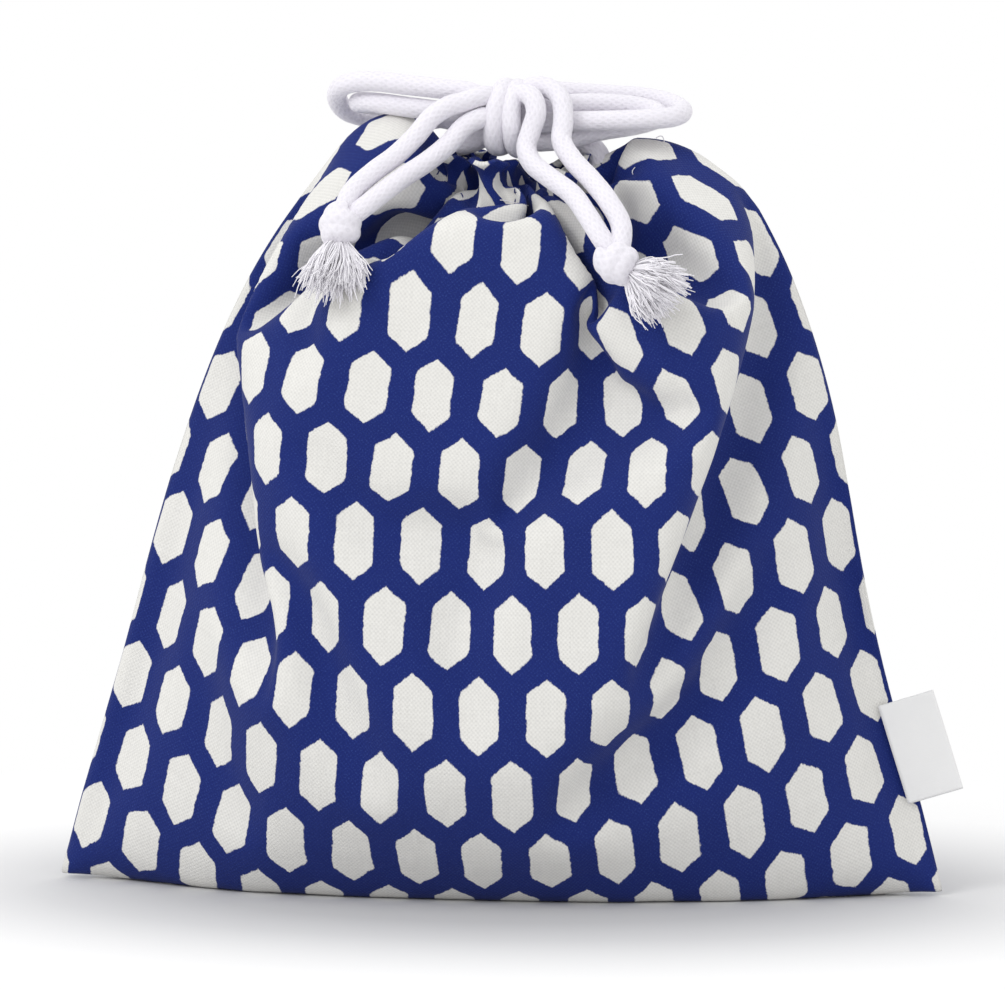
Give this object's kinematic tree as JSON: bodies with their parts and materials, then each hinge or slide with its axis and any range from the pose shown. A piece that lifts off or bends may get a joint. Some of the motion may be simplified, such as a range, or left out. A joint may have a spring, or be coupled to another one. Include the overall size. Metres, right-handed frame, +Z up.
{
  "type": "kinchaku drawstring pouch",
  "caption": "Stuffed cotton drawstring pouch standing on its folded base, mouth drawn shut by two cords tied in a double bow.",
  "frame": {"origin": "middle of the flat base, on the surface that the pouch stands on", "axes": "+Z up to the tied mouth, +X along the base towards the seam with the label, -Y to the front"},
  "size_m": [0.246, 0.1078, 0.2236],
  "materials": {
    "canvas": "printed cotton canvas, royal blue on off-white",
    "cord": "soft white braided cotton",
    "label": "plain woven white tape"
  },
  "bodies": {
    "root": {"pouch_body": "canvas", "side_label": "label", "bow_knot": "cord", "left_end_knot": "cord", "right_end_knot": "cord", "left_tassel": "cord", "right_tassel": "cord", "left_feed_a": "cord", "left_feed_b": "cord", "right_feed_a": "cord", "right_feed_b": "cord", "left_loop_outer": "cord", "left_loop_inner": "cord", "right_loop_outer": "cord", "right_loop_inner": "cord", "left_tail_a": "cord", "left_tail_b": "cord", "right_tail_c": "cord", "right_tail_d": "cord"}
  },
  "joints": []
}
